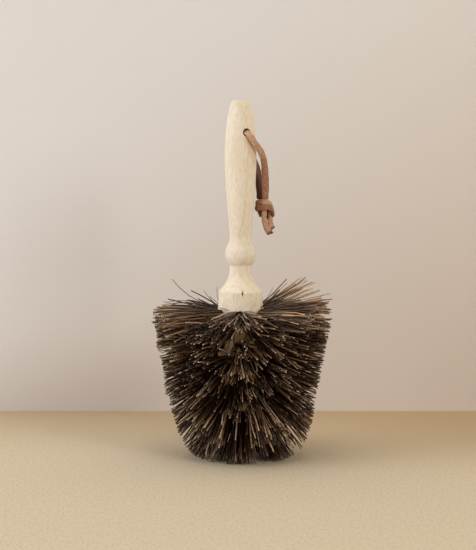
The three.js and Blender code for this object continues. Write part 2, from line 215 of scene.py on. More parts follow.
LEAVING = HOLE_SIDE * 0.565 + np.array([0, 0, -0.825])
MOUTH = 8.2
WOOD_AT_HOLE = 10.1
STRAND_ROUTE = [
    (MOUTH, 0, 0),
    (MOUTH + 1, 0, 0),
    (11.4, 0.5, -0.73),
    (12.5, 1.92, -2.8),
    (12.4, 5.2, -7.6),
    (11.1, 10, -13),
    (9.2, 13, -18),
    (7.2, 15, -23),
    (5.6, 16.2, -30),
]
FRONT_FOOT = [(4, 17.3, -39), (2.6, 17.9, -47)]
BACK_FOOT = [(4, 16.4, -39), (2.6, 16, -47)]
TAIL_TOP = -59.4
LONG_TAIL = [
    (1.6, 17.4, TAIL_TOP),
    (1.6, 17.5, TAIL_TOP - 2),
    (1.6, 19.6, TAIL_TOP - 8),
    (1.6, 22.4, TAIL_TOP - 12),
]
SHORT_TAIL = [
    (-1.6, 24, TAIL_TOP),
    (-1.6, 23.8, TAIL_TOP - 2),
    (-1.6, 23.8, TAIL_TOP - 5),
    (-1.6, 25.2, TAIL_TOP - 9),
]
# The tails are narrower than the strip, are cut off aslant and widen to their ends.
LONG_WIDTH, LONG_SLANT, LONG_TAPER = 0.84, 1.6, (1, 1.05, 1.2, 1.2)
SHORT_WIDTH, SHORT_SLANT, SHORT_TAPER = 0.72, -1.2, (1, 1.15, 1.5, 1.5)
STRAND_TAPER = (0.86, 0.98, 1, 1.1, 1.22, 1)
# Wear of the leather from end to end: above nought it is rubbed raw; below nought it is darkened,
# as painted shade on the back strand and on the parts of the knot that lie behind or within, and
# near the cut tips of the tails.
FRONT_WEAR = (0.78, 0.62, 0.36, 0.28, 0.3)
# The back strand is darkened as painted shade.
BACK_PAINTED_SHADE = (-0.3, -0.7, -0.9)
HOLE_WEAR = (0.4, 0.7)
TAIL_WEAR = (*[0.62] * 8, -0.9, -0.9)
# The two turns of the knot and its tucked end, from the knot's middle: out, to the side and up.
KNOT_SIDE, KNOT_DROP = 18.6, 53.3
LOW_TURN = [
    (0.4, -7.1, 0.6),
    (3, -6.3, 0.4),
    (5, -3.6, 0.9),
    (5.4, -0.35, 1.1),
    (4, 3, 0),
    (1.6, 5.7, -2.3),
    (-1, 6.8, -4.6),
    (-3.6, 5.4, -4.6),
    (-5, 1.8, -3.2),
    (-4, -2.9, -0.8),
    (-1, -5.8, 0),
]
HIGH_TURN = [
    (-0.6, -6.2, 3.5),
    (2.2, -5.8, 4.2),
    (4.2, -4.1, 4.7),
    (4.6, -0.85, 4.4),
    (3, 2.7, 3.0),
    (0, 5.6, 0.9),
    (-3, 5.7, 0.6),
    (-5, 1.8, 1.6),
    (-3.5, -3.1, 2.6),
]
TUCKED_END = [(-2.4, -4, -0.5), (-1.8, -3.5, -3), (-1.4, -2.2, -6)]
INNER_END = [(-4, 4.2, 1), (-3.9, 3.8, -3), (-3.8, 2.8, -8)]
# Turns and ends of the knot: route, width and thickness of the strip, and wear, which below nought
# is painted shade.
KNOT_TURNS = [
    (HIGH_TURN, (3.9, 1.8), (-0.9, 0.1, 0.6, 0.65, 0.4, 0, -0.6, -0.8, -0.8)),
    (LOW_TURN, (3.9, 1.9), (-0.9, 0.1, 0.15, 0.1, 0.1, -0.1, -0.8, -0.8, -0.8)),
    (TUCKED_END, (4, 1.8), (-0.7, -0.6)),
    (INNER_END, (3.8, 1.6), (-0.9, -0.9)),
]
# What runs on inside the knot: its top, its foot, its share of the strip's width, and wear, which
# below nought is painted shade.
KNOT_CORES = [
    ((2.6, 17.9, -46.9), (1.8, 17.4, -50), 1, (0.3, 0.3)),
    ((-2.6, 16, -46.9), (-2, 17, -50), 1, (-0.8, -0.8)),
    ((2.2, 17.4, -50), LONG_TAIL[0], LONG_WIDTH, (0.6, 0.62)),
    ((-0.6, 23.6, -52.5), SHORT_TAIL[0], SHORT_WIDTH, (0.3, 0.62)),
]
# A turn of the knot faces outwards, and barely up or down.
KNOT_FACING = (1, 1, 0.15)
STRAND_RINGS, TURN_RINGS, TAIL_RINGS, CORE_RINGS, HOLE_RINGS = 46, 60, 20, 8, 6
# A strip's section: its points, how far its corners are rounded, how its width swells along it,
# how ragged its edges are, and how its ends are eased.
SECTION_POINTS, SECTION_ROUNDING = 20, 0.62
SWELL, SWELL_RATE = 0.035, 0.9
RAGGED_EDGE = 0.025
END_SIZE, END_DEPTH = 0.84, 0.28

# Camera and stage.

CAMERA_AT = (-0.00182, -1.229, 0.250)
CAMERA_TILT = 5.65
CAMERA_LENS, CAMERA_SENSOR = 115.6, 36
STAGE_SIZE, WALL_Y = 12, 0.181
# Soft lights: name, place, watts, width and colour.
LIGHTS = [
    ("left_window", (-1.4, -0.5, 0.35), 16.6, 1.0, (0.97, 1, 1.09)),
    ("right_front", (1.0, -1.25, 0.7), 8.9, 0.5, (1, 0.985, 0.94)),
    ("right_side", (1.4, -0.5, 0.35), 3.8, 1.0, (1, 0.97, 0.91)),
    ("overhead", (-0.15, -0.25, 1.5), 5.8, 1.2, (1, 0.99, 0.97)),
]
LIGHTS_AIM = (0, 0, 0.12)
SKY_COLOUR, SKY = (1, 0.81, 0.55, 1), 0.23
# How fine the grain of the papers is along each axis, and how strong.
FLOOR_GRAIN, WALL_GRAIN = (560, 230, 560), (700, 700, 700)
FLOOR_MOTTLE, WALL_MOTTLE = 0.55, 0.06
# Where the papers fall into shade: the direction, where it starts and ends, and its tint.
FLOOR_FADE = ((0.25, 1, 0), -0.06, 0.22, (0.77, 0.66, 0.52))
WALL_FADE = ((0.7, 0, -1), -0.36, 0.1, (0.865, 0.785, 0.69))


class BrushSizes(bpy.types.PropertyGroup):
    """Sizes of the brush that a maker would change."""

    turning_steps: bpy.props.IntProperty(
        name="Turning steps", description="Facets round the turned body", default=128, min=24
    )
    fibres: bpy.props.IntProperty(
        name="Fibres in a tuft", description="Bristles set in each socket", default=84, min=12
    )
    fibre_thickness: bpy.props.FloatProperty(
        name="Fibre thickness", description="Width of a bristle at its foot", default=0.001, unit="LENGTH"
    )
    lace_width: bpy.props.FloatProperty(
        name="Lace width", description="Width of the leather strip", default=0.0044, unit="LENGTH"
    )
    lace_thickness: bpy.props.FloatProperty(
        name="Lace thickness", description="Thickness of the leather strip", default=0.0022, unit="LENGTH"
    )


def colour_property(name, description, default):
    return bpy.props.FloatVectorProperty(
        name=name, description=description, default=default, size=3, subtype="COLOR", min=0, max=1
    )


class BrushColours(bpy.types.PropertyGroup):
    """Colours of the brush and its stage."""

    birch: colour_property("Birch", "Bare sanded wood", (0.84, 0.767, 0.645))
    birch_sapwood: colour_property("Birch block", "Yellower wood of the block", (0.93, 0.835, 0.68))
    birch_dark: colour_property("Birch layers", "Late wood and pores", (0.64, 0.49, 0.30))
    core_painted_shade: colour_property("Core painted shade", "Wood between the tufts", (0.47, 0.26, 0.105))
    fleck_and_lace_shadow: colour_property("Fleck", "Bark flecks and painted lace shadow", (0.50, 0.27, 0.09))
    fleck_heart: colour_property("Heart of a fleck", "The darkest of the bark", (0.075, 0.032, 0.012))
    fibre_dark: colour_property("Dark fibre", "The darkest bristles", (0.016, 0.0048, 0.0018))
    fibre: colour_property("Fibre", "Most of the bristles", (0.114, 0.0545, 0.028))
    fibre_pale: colour_property("Pale fibre", "Sun-bleached bristles", (0.6, 0.41, 0.26))
    fibre_cut: colour_property("Cut ends", "The trimmed tips of the bristles", (0.62, 0.48, 0.35))
    leather: colour_property("Leather", "Grain side of the lace", (0.29, 0.125, 0.068))
    leather_raw: colour_property("Raw leather", "Flesh side and fresh ends", (0.64, 0.415, 0.265))
    wire: colour_property("Wire", "Drawn steel of the staples", (0.58, 0.57, 0.55))
    floor: colour_property("Floor", "Plain paper floor", (0.72, 0.61, 0.445))
    wall: colour_property("Wall", "Plain wall behind", (0.745, 0.722, 0.72))


# Finishes.


class Value:
    """A number that varies over a surface; arithmetic on it adds Math nodes to its finish."""

    def __init__(self, finish, socket):
        self.finish = finish
        self.socket = socket

    def __add__(self, other):
        return self.finish.math("ADD", self, other)

    __radd__ = __add__

    def __sub__(self, other):
        return self.finish.math("SUBTRACT", self, other)

    def __rsub__(self, other):
        return self.finish.math("SUBTRACT", other, self)

    def __mul__(self, other):
        return self.finish.math("MULTIPLY", self, other)

    __rmul__ = __mul__


class Finish:
    """The nodes of one material."""

    def __init__(self, name, constants):
        self.material = bpy.data.materials.new(name)
        self.material.use_nodes = True
        self.tree = self.material.node_tree
        self.surface = self.tree.nodes["Principled BSDF"]
        self.feed(self.surface, constants)

    def feed(self, node, sockets):
        for key, value in sockets.items():
            if isinstance(value, Value):
                self.tree.links.new(value.socket, node.inputs[key])
            else:
                node.inputs[key].default_value = value

    def node(self, kind, settings, sockets, output=0):
        """Any node: its settings first, then the values and links of its sockets."""
        node = self.tree.nodes.new(kind)
        stops = settings.pop("stops", None)
        for key, value in settings.items():
            setattr(node, key, value)
        if stops:
            elements = node.color_ramp.elements
            while len(elements) < len(stops):
                elements.new(0.5)
            for element, (position, colour) in zip(elements, stops):
                element.position = position
                element.color = (*colour, 1)
        self.feed(node, sockets)
        return Value(self, node.outputs[output])

    def math(self, operation, a, b):
        return self.node("ShaderNodeMath", {"operation": operation}, {0: a, 1: b})

    def vector_math(self, operation, *vectors):
        """A number from vectors, such as a length."""
        sockets = dict(enumerate(vectors))
        return self.node("ShaderNodeVectorMath", {"operation": operation}, sockets, output=1)

    def place(self, scale, offset=(0, 0, 0)):
        """Object coordinates, scaled: (1000, 1000, 1000) counts millimetres."""
        coordinates = self.node("ShaderNodeTexCoord", {}, {}, output=3)
        sockets = {"Vector": coordinates, "Scale": scale, "Location": offset}
        return self.node("ShaderNodeMapping", {}, sockets)

    def noise(self, vector, detail):
        return self.node("ShaderNodeTexNoise", {}, {"Vector": vector, "Scale": 1.0, "Detail": detail})

    def attribute(self, name):
        return self.node("ShaderNodeAttribute", {"attribute_name": name}, {}, output=2)

    def rise(self, value, low, high):
        """0 below low, 1 above high, smooth between."""
        sockets = {"Value": value, "From Min": low, "From Max": high}
        return self.node("ShaderNodeMapRange", {"interpolation_type": "SMOOTHSTEP"}, sockets)

    def ramp(self, value, stops):
        return self.node("ShaderNodeValToRGB", {"stops": stops}, {"Fac": value})

    def mix(self, factor, a, b, how="MIX"):
        """Two colours mixed by a factor; a plain colour is three numbers."""
        whole = [c if isinstance(c, Value) else (*c, 1) for c in (a, b)]
        settings = {"data_type": "RGBA", "blend_type": how}
        return self.node("ShaderNodeMix", settings, {0: factor, 6: whole[0], 7: whole[1]}, output=2)

    def bump(self, height, strength, distance):
        sockets = {"Height": height, "Strength": strength, "Distance": distance}
        return self.node("ShaderNodeBump", {}, sockets)

    def paint(self, **sockets):
        names = {"colour": "Base Color", "roughness": "Roughness", "normal": "Normal"}
        self.feed(self.surface, {names[key]: value for key, value in sockets.items()})
        return self.material


def birch_finish(colours):
    """Sanded birch: growth layers, fine pores and flecks, with the lace's shadow painted on the grip and
    painted shade on the core among its tufts.
    """
    f = Finish("sanded_birch", {"Specular IOR Level": 0.3})
    sway = f.noise(f.place((30, 30, 14)), detail=1)
    layers = f.vector_math("LENGTH", f.place((1000, 1000, 55), (-13, -31, -9)))
    turns = f.math("SINE", layers * 1.9 + sway * 9.0, 0)
    late = f.rise(turns, 0.35, 1.0)
    streaks = f.noise(f.place((1150, 1150, 190)), detail=3)
    pores = f.rise(f.noise(f.place((1700, 1700, 300)), detail=2), 0.56, 0.7)
    clouds = f.noise(f.place((60, 60, 22)), detail=2)
    height = f.node("ShaderNodeSeparateXYZ", {}, {0: f.place((1000, 1000, 1000))}, output=2)
    pale = f.mix(f.rise(height, 116, 150), colours.birch_sapwood, colours.birch)
    shade = late * 0.16 + f.rise(streaks, 0.36, 0.7) * 0.36 + pores * 0.4 + f.rise(clouds, 0.4, 0.75) * 0.12
    wood = f.mix(shade, pale, colours.birch_dark)
    # Painted shade: the core below the block is browned among its tufts.
    wood = f.mix((1 - f.rise(height, CORE_SHADE_FULL, CORE_SHADE_FROM)) * CORE_PAINTED_SHADE, wood, colours.core_painted_shade)
    # Bark flecks, and the lace's shadow painted on the grip.
    for spot, draw, round_about, heart in FLECKS_AND_LACE_SHADOW:
        scale = [d / MM for d in draw]
        shift = [-s * d for s, d in zip(spot, draw)]
        away = f.vector_math("LENGTH", f.place(scale, shift))
        ragged = away + (f.noise(f.place((1300, 1300, 500)), detail=2) - 0.5) * 1.1
        wood = f.mix((1 - f.rise(ragged, 0.7, 2.3)) * round_about, wood, colours.fleck_and_lace_shadow)
        wood = f.mix((1 - f.rise(ragged, 0.35, 0.95)) * heart, wood, colours.fleck_heart)
    return f.paint(
        colour=wood,
        roughness=0.5 + streaks * 0.16,
        normal=f.bump(streaks * 0.5 - pores * 0.8, 0.16, 0.0002),
    )


def fibre_finish(colours):
    """Satin plant fibre: every bristle has its own tone, from near black to pale, and painted shade darkens
    the fibres towards their roots.
    """
    f = Finish("plant_fibre", {"Specular IOR Level": 0.5, "Specular Tint": (1, 0.85, 0.72, 1)})
    tone, along = f.attribute("tone"), f.attribute("along")
    grain = f.noise(f.place((420, 420, 420)), detail=2)
    fine = f.noise(f.place((2600, 2600, 2600)), detail=1)
    shade = tone + (grain - 0.5) * 0.35 + (fine - 0.5) * 0.2
    stops = [
        (0.0, colours.fibre_dark),
        (0.38, [c * 0.45 for c in colours.fibre]),
        (0.62, colours.fibre),
        (0.82, [c * 0.42 for c in colours.fibre_pale]),
        (1.0, colours.fibre_pale),
    ]
    tints = [(0, (0.86, 0.93, 1.06)), (0.5, (1, 1, 1)), (1, (1.12, 0.98, 0.8))]
    tint = f.ramp(f.attribute("warmth"), tints)
    body = f.mix(1.0, f.ramp(shade, stops), tint, "MULTIPLY")
    # Painted shade: darker towards the roots, deep inside the tufts.
    body = f.mix((1 - f.rise(along, 0.25, 0.85)) * 0.72, body, colours.fibre_dark)
    body = f.mix(f.rise(along, 0.9, 1.0) * 0.12, body, colours.fibre_cut)
    return f.paint(
        colour=body,
        roughness=0.24 + fine * 0.2,
        normal=f.bump(fine, 0.25, 0.0001),
    )


def cut_finish(colours):
    """The cut end of a bristle, as pale as the bristle's tone, with dark specks."""
    f = Finish("cut_fibre", {"Specular IOR Level": 0.4})
    tone = f.attribute("tone")
    specks = f.noise(f.place((3200, 3200, 3200)), detail=1)
    pale = f.mix(f.rise(tone, 0.2, 0.85), [c * 0.06 for c in colours.fibre_cut], colours.fibre_cut)
    return f.paint(
        colour=f.mix(f.rise(specks, 0.5, 0.75) * 0.6, pale, colours.fibre_dark),
        roughness=0.45 + specks * 0.2,
        normal=f.bump(specks, 0.3, 0.0001),
    )


def leather_finish(colours):
    """Oiled leather: smooth brown grain that wears to raw tan near the hole and at the ends, and
    darkens as painted shade where the lace lies behind.
    """
    f = Finish("lace_leather", {"Specular IOR Level": 0.35})
    wear_and_shade, edge = f.attribute("wear_and_shade"), f.attribute("edge")
    mottle = f.noise(f.place((260, 260, 260)), detail=4)
    speckle = f.noise(f.place((1100, 1100, 800)), detail=2)
    grain = f.noise(f.place((2400, 2400, 2400)), detail=3)
    flecks = f.rise(f.noise(f.place((900, 900, 900), (3, 1, 7)), detail=1), 0.63, 0.71)
    dark = [c * deep for c, deep in zip(colours.leather, (0.32, 0.23, 0.17))]
    raw = f.rise(wear_and_shade + (mottle - 0.5) * 0.6 + (speckle - 0.5) * 1.1, 0.1, 0.95)
    hide = f.mix(raw, colours.leather, colours.leather_raw)
    hide = f.mix(f.rise(mottle, 0.5, 0.75) * 0.3, hide, [c * 0.45 for c in colours.leather])
    hide = f.mix(f.rise(edge, 0.9, 1.0) * raw * 0.6, hide, [min(1, c * 1.3) for c in colours.leather_raw])
    hide = f.mix(flecks * 0.6, hide, dark)
    # Painted shade where the wear is below nought.
    hide = f.mix(1 - f.rise(wear_and_shade, -0.9, -0.1), hide, dark)
    height = grain * 0.6 + mottle * 0.5 + speckle * 0.8
    return f.paint(
        colour=hide,
        roughness=0.36 + grain * 0.16 + raw * 0.25,
        normal=f.bump(height, 0.5, 0.0004),
    )


def cut_leather_finish(colours):
    """The dark cut end of the lace."""
    f = Finish("cut_leather", {"Specular IOR Level": 0.25})
    fluff = f.noise(f.place((1800, 1800, 1800)), detail=3)
    dark = [c * 0.28 for c in colours.leather]
    return f.paint(
        colour=f.mix(fluff, dark, [c * 0.7 for c in colours.leather]),
        roughness=0.7 + fluff * 0.2,
        normal=f.bump(fluff, 0.5, 0.0003),
    )


def wire_finish(colours):
    """Drawn steel wire with faint lines and a little tarnish."""
    f = Finish("drawn_wire", {"Metallic": 1.0})
    lines = f.noise(f.place((900, 900, 5200)), detail=2)
    tarnish = f.noise(f.place((700, 700, 700)), detail=2)
    dull = [c * 0.5 for c in colours.wire]
    return f.paint(
        colour=f.mix(f.rise(tarnish, 0.5, 0.8) * 0.6, colours.wire, dull),
        roughness=0.28 + lines * 0.2,
        normal=f.bump(lines, 0.1, 0.0001),
    )


def paper_finish(name, colour, grain, mottle, fade):
    """Plain matt paper of the stage, which falls into shade along one direction."""
    f = Finish(name, {"Specular IOR Level": 0.1})
    tooth = f.noise(f.place(grain), detail=3)
    direction, start, end, tint = fade
    distance = f.vector_math("DOT_PRODUCT", f.place((1, 1, 1)), direction)
    paper = f.mix(f.rise(distance, start, end), colour, [c * t for c, t in zip(colour, tint)])
    speckled = f.mix(f.rise(tooth, 0.4, 0.7) * mottle, paper, [c * 0.8 for c in colour])
    return f.paint(colour=speckled, roughness=0.9 + tooth * 0.05)


# Making.


def smooth_line(points, count):
    """Evenly spaced points on one smooth line through these."""
    p = np.array(points, float)
    p = np.vstack([2 * p[0] - p[1], p, 2 * p[-1] - p[-2]])
    gap = np.linalg.norm(np.diff(p, axis=0), axis=1) ** 0.5
    t = np.linspace(0, 1, 24, endpoint=False)[:, None]
    fine = []
    for i in range(1, len(p) - 2):
        a, b, c = gap[i - 1 : i + 2]
        leave = ((p[i] - p[i - 1]) / a - (p[i + 1] - p[i - 1]) / (a + b) + (p[i + 1] - p[i]) / b) * b
        arrive = ((p[i + 1] - p[i]) / b - (p[i + 2] - p[i]) / (b + c) + (p[i + 2] - p[i + 1]) / c) * b
        fine.append(
            (2 * t**3 - 3 * t**2 + 1) * p[i]
            + (t**3 - 2 * t**2 + t) * leave
            + (3 * t**2 - 2 * t**3) * p[i + 1]
            + (t**3 - t**2) * arrive
        )
    fine = np.vstack([*fine, p[-2:-1]])
    run = np.concatenate([[0], np.cumsum(np.linalg.norm(np.diff(fine, axis=0), axis=1))])
    at = np.linspace(0, run[-1], count)
    return np.column_stack([np.interp(at, run, column) for column in fine.T])


def bezier(corners, count):
    a, b, c, d = (np.array(corner, float) for corner in corners)
    t = np.linspace(0, 1, count)[:, None]
    return (1 - t) ** 3 * a + 3 * t * (1 - t) ** 2 * b + 3 * t**2 * (1 - t) * c + t**3 * d


def unit(vectors):
    vectors = np.asarray(vectors, float)
    return vectors / np.linalg.norm(vectors, axis=-1, keepdims=True)


def start_piece(name, add, **settings):
    """A new primitive, as the only selected object."""
    bpy.ops.object.select_all(action="DESELECT")
    add(**settings)
    piece = bpy.context.active_object
    piece.name = piece.data.name = name
    return piece


def pick(piece):
    """Makes this the only selected object."""
    bpy.ops.object.select_all(action="DESELECT")
    piece.select_set(True)
    bpy.context.view_layer.objects.active = piece


@contextmanager
def editing():
    """Edit mode for as long as it is needed."""
    bpy.ops.object.mode_set(mode="EDIT")
    yield
    bpy.ops.object.mode_set(mode="OBJECT")


def mesh_piece(name, points, faces):
    """A piece from its points, in millimetres, and its faces."""
    mesh = bpy.data.meshes.new(name)
    mesh.from_pydata((np.asarray(points) * MM).tolist(), [], faces)
    piece = bpy.data.objects.new(name, mesh)
    bpy.context.scene.collection.objects.link(piece)
    pick(piece)
    return piece


def note(piece, name, values):
    """A number for every point of a piece, which its finish reads."""
    values = np.asarray(values, np.float32)
    piece.data.attributes.new(name, "FLOAT", "POINT").data.foreach_set("value", values)


def smooth(piece, degrees):
    pick(piece)
    bpy.ops.object.shade_smooth_by_angle(angle=math.radians(degrees))


def settle(piece, body, finishes, nodes):
    """A finished piece rides on its body and stands for its solids."""
    for finish in finishes:
        piece.data.materials.append(finish)
    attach(piece, body)
    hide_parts(*nodes)
    return piece


def core_radius(z):
    if z < DOME_Z:
        return math.sqrt(CORE_RADIUS**2 - (DOME_Z - z) ** 2)
    return CORE_RADIUS - max(0.0, z - CORE_FULL_Z) * CORE_TAPER


def body_profile():
    """(radius, height) of the turning, from the middle of its flat end to the tip of its dome."""
    block = [(core_radius(z), z) for z in np.arange(BLOCK_TOP, DOME_Z, -BLOCK_STEP)]
    dome = [
        (CORE_RADIUS * math.cos(a), DOME_Z - CORE_RADIUS * math.sin(a))
        for a in np.linspace(0, math.pi / 2, DOME_POINTS)[:-1]
    ]
    return [
        *END_EDGE,
        *smooth_line(GRIP, GRIP_POINTS),
        *bezier(BEAD_TOP, BEAD_TOP_POINTS)[1:],
        *bezier(BEAD_FOOT, BEAD_FOOT_POINTS)[1:],
        *bezier(COVE, COVE_POINTS),
        *ARRIS,
        *block,
        *dome,
        (0, DOME_Z - CORE_RADIUS),
    ]


def turned(name, profile, steps):
    """A chain of edges drawn along the profile, spun round the axis into a closed skin."""
    piece = start_piece(name, bpy.ops.mesh.primitive_plane_add, size=MM)
    spots = [Vector((r * MM, 0, z * MM)) for r, z in profile]
    with editing():
        bpy.ops.mesh.merge(type="CENTER")
        bpy.ops.transform.translate(value=spots[0])
        for before, after in zip(spots, spots[1:]):
            bpy.ops.mesh.extrude_vertices_move(TRANSFORM_OT_translate={"value": after - before})
        bpy.ops.mesh.select_all(action="SELECT")
        bpy.ops.mesh.spin(steps=steps, angle=2 * math.pi, center=(0, 0, 0), axis=(0, 0, 1))
        bpy.ops.mesh.select_all(action="SELECT")
        bpy.ops.mesh.remove_doubles(threshold=1e-6)
        bpy.ops.mesh.normals_make_consistent(inside=False)
    return piece


def cut_away(piece, cutter):
    """Takes the cutter's shape out of a piece."""
    cut = piece.modifiers.new("cut", "BOOLEAN")
    cut.operation, cut.solver, cut.object = "DIFFERENCE", "EXACT", cutter
    pick(piece)
    bpy.ops.object.modifier_apply(modifier=cut.name)
    bpy.data.objects.remove(cutter)


def turn_to(direction):
    return Vector(direction).to_track_quat("Z", "Y").to_matrix().to_4x4()


def hole_drill():
    """A drill across the handle whose ends flare, so that the hole's rims are eased."""
    drill = start_piece(
        "hole_drill",
        bpy.ops.mesh.primitive_cylinder_add,
        vertices=48,
        radius=HOLE_RADIUS * MM,
        depth=HOLE_DRILL_LENGTH * MM,
    )
    with editing():
        for side in (1, -1):
            bpy.ops.mesh.select_all(action="SELECT")
            bpy.ops.mesh.bisect(plane_co=(0, 0, side * HOLE_STRAIGHT * MM), plane_no=(0, 0, 1))
    for vertex in drill.data.vertices:
        vertex.select = abs(vertex.co.z) > (HOLE_STRAIGHT + 1) * MM
    with editing():
        bpy.ops.transform.resize(value=(HOLE_FLARE, HOLE_FLARE, 1), center_override=(0, 0, 0))
    drill.data.transform(Matrix.Translation((0, 0, HOLE_Z * MM)) @ turn_to(HOLE_OUT))
    return drill


class Tuft:
    """Where a tuft stands, where its socket and its fibres point, and how they fan."""

    def __init__(self, turn, radius, z, row, lift=0.0, tone_and_light=0.0):
        down, self.spread, self.fan_up, self.fan_down, self.clumps = row
        self.tone_and_light = tone_and_light
        out = np.array([math.sin(turn), -math.cos(turn), 0])
        self.side = np.array([math.cos(turn), math.sin(turn), 0])
        self.foot = out * radius + np.array([0, 0, z])
        self.along = self.pointing(out, down)
        self.reach = self.pointing(out, down - lift)
        self.up = np.cross(self.reach, self.side)

    def refan(self, factors):
        sideways, up, down = factors
        self.spread *= sideways
        self.fan_up *= up
        self.fan_down *= down

    @staticmethod
    def pointing(out, degrees_down):
        down = math.radians(degrees_down)
        return out * math.cos(down) - np.array([0, 0, math.sin(down)])


def rows_of_tufts():
    """Six rows down the core, alternate rows turned by half a pitch, and the domed end."""
    pitch = 2 * math.pi / TUFTS_PER_ROW
    rows = []
    for row, settings in enumerate(ROWS):
        z = TOP_ROW_Z - row * ROW_STEP
        tufts = []
        for k in range(TUFTS_PER_ROW):
            lift = SPRUNG[k][0] if row == 0 and k in SPRUNG else 0
            # The tuft's shift in tone: partly its own tone, partly painted light and shade.
            tone_and_light = ROW_TONE_AND_PAINTED_LIGHT[row] + TUFT_TONE_AND_PAINTED_LIGHT.get((row, k), 0)
            tuft = Tuft((k + row % 2 / 2) * pitch, core_radius(z), z, settings, lift, tone_and_light)
            tuft.refan(TUFT_FAN.get((row, k), (1, 1, 1)))
            tufts.append(tuft)
        rows.append(tufts)
    at = math.radians(LAST_ROW_AT)
    radius, z = CORE_RADIUS * math.cos(at), DOME_Z - CORE_RADIUS * math.sin(at)
    last = []
    for k in range(TUFTS_PER_ROW):
        # The tuft's shift in tone: partly its own tone, partly painted shade.
        tone_and_light = ROW_TONE_AND_PAINTED_LIGHT[-1] + TUFT_TONE_AND_PAINTED_LIGHT.get((len(ROWS), k), 0)
        last.append(Tuft(k * pitch, radius, z, LAST_ROW, tone_and_light=tone_and_light))
    rows.append([*last, Tuft(0, 0, DOME_Z - CORE_RADIUS, TIP_TUFT, tone_and_light=TIP_PAINTED_SHADE)])
    return rows


def socket_drills(rows):
    """One drill, copied to the foot of every tuft."""
    drill = start_piece(
        "socket_drill",
        bpy.ops.mesh.primitive_cylinder_add,
        vertices=28,
        radius=SOCKET_RADIUS * MM,
        depth=2 * SOCKET_DEPTH * MM,
    )
    for tuft in [t for row in rows for t in row]:
        copy = drill.copy()
        copy.data = drill.data.copy()
        copy.data.transform(Matrix.Translation(tuft.foot * MM) @ turn_to(tuft.along))
        bpy.context.scene.collection.objects.link(copy)
        copy.select_set(True)
        bpy.context.view_layer.objects.active = copy
    drill.select_set(False)
    bpy.ops.object.join()
    bpy.data.objects.remove(drill)
    return bpy.context.view_layer.objects.active


def trim_radius(x, z):
    closer = sum(
        amount * max(0.0, side * x / TRIM_FOOT_RADIUS) * math.exp(-(((z - height) / span) ** 2))
        for side, amount, height, span in UNEVEN_TRIM
    )
    if z >= TRIM_FOOT_Z:
        slope = (TRIM_TOP_RADIUS - TRIM_FOOT_RADIUS) / (TOP_ROW_Z - TRIM_FOOT_Z)
        return TRIM_FOOT_RADIUS + (min(z, TOP_ROW_Z) - TRIM_FOOT_Z) * slope - closer
    share = min(1.0, (TRIM_FOOT_Z - z) / (TRIM_FOOT_Z + TRIM_BASE_DROP))
    narrowing = (1 - share**2) ** TRIM_CURVE
    return TRIM_BASE_RADIUS + (TRIM_FOOT_RADIUS - TRIM_BASE_RADIUS) * narrowing - closer


def trim_length(start, heading):
    """How far a fibre runs before the trim, found by halving."""
    near, far = 0.0, 2 * TRIM_TOP_RADIUS
    for _ in range(TRIM_HALVINGS):
        middle = (near + far) / 2
        x, y, z = start + heading * middle
        if z > 0 and math.hypot(x, y) < trim_radius(x, z):
            near = middle
        else:
            far = middle
    return near


class Fibre(NamedTuple):
    """One bristle: the points that it is bent through, its size, its tones and its crook."""

    root: np.ndarray
    bow: np.ndarray
    tip: np.ndarray
    thickness: float
    tone: float
    warmth: float
    crook: float


def fibres_of(tuft, count, chance):
    """The fibres of a tuft, spread over its socket and gathered in clumps."""
    clumps = [
        (chance.uniform(-1, 1), chance.uniform(-1, 1), chance.gauss(0, CLUMP_TONE))
        for _ in range(tuft.clumps)
    ]
    reach = tuft.reach + tuft.side * chance.gauss(0, AIM_ASIDE) + tuft.up * chance.gauss(0, AIM_UP)
    golden = math.pi * (3 - math.sqrt(5))
    start = chance.uniform(0, 2 * math.pi)
    made = []
    for i in range(count):
        r, a = math.sqrt((i + 0.5) / count), i * golden + start
        u, v = r * math.cos(a), r * math.sin(a)
        clump_u, clump_v, clump_tone = min(clumps, key=lambda c: (c[0] - u) ** 2 + (c[1] - v) ** 2)
        pull = chance.uniform(*GATHERED) ** (tuft.clumps / USUAL_CLUMPS)
        wild = chance.choices(WILDNESS, WILD_SHARES)[0]
        across = u + (clump_u - u) * pull + chance.gauss(0, STRAY_ASIDE) * wild
        rise = v + (clump_v - v) * pull + chance.gauss(0, STRAY_UP) * wild
        fan = tuft.fan_up if rise > 0 else tuft.fan_down
        heading = unit(reach + tuft.side * tuft.spread * across + tuft.up * fan * rise)
        leave = tuft.foot + BUNDLE_RADIUS * (tuft.side * u + tuft.up * v)
        whole = trim_length(leave, heading)
        cut = 1 - abs(chance.gauss(0, SHORT_OF_TRIM))
        if chance.random() < BROKEN_SHARE:
            cut *= chance.uniform(*BROKEN)
        tip = leave + heading * whole * cut
        root = leave - tuft.along * FIBRE_SINK
        aside, up = chance.gauss(0, BOW_ASIDE), chance.gauss(0, BOW_UP) + BOW_RISE
        bow = (root + tip) / 2 + whole * min(wild, WILDEST_BOW) * (tuft.side * aside + tuft.up * up)
        tone = chance.uniform(*chance.choices(TONES, TONE_SHARES)[0]) + clump_tone + tuft.tone_and_light
        thickness, warmth = chance.uniform(*FIBRE_SIZES), chance.random()
        made.append(Fibre(root, bow, tip, thickness, tone, warmth, chance.gauss(0, CROOK)))
    return made


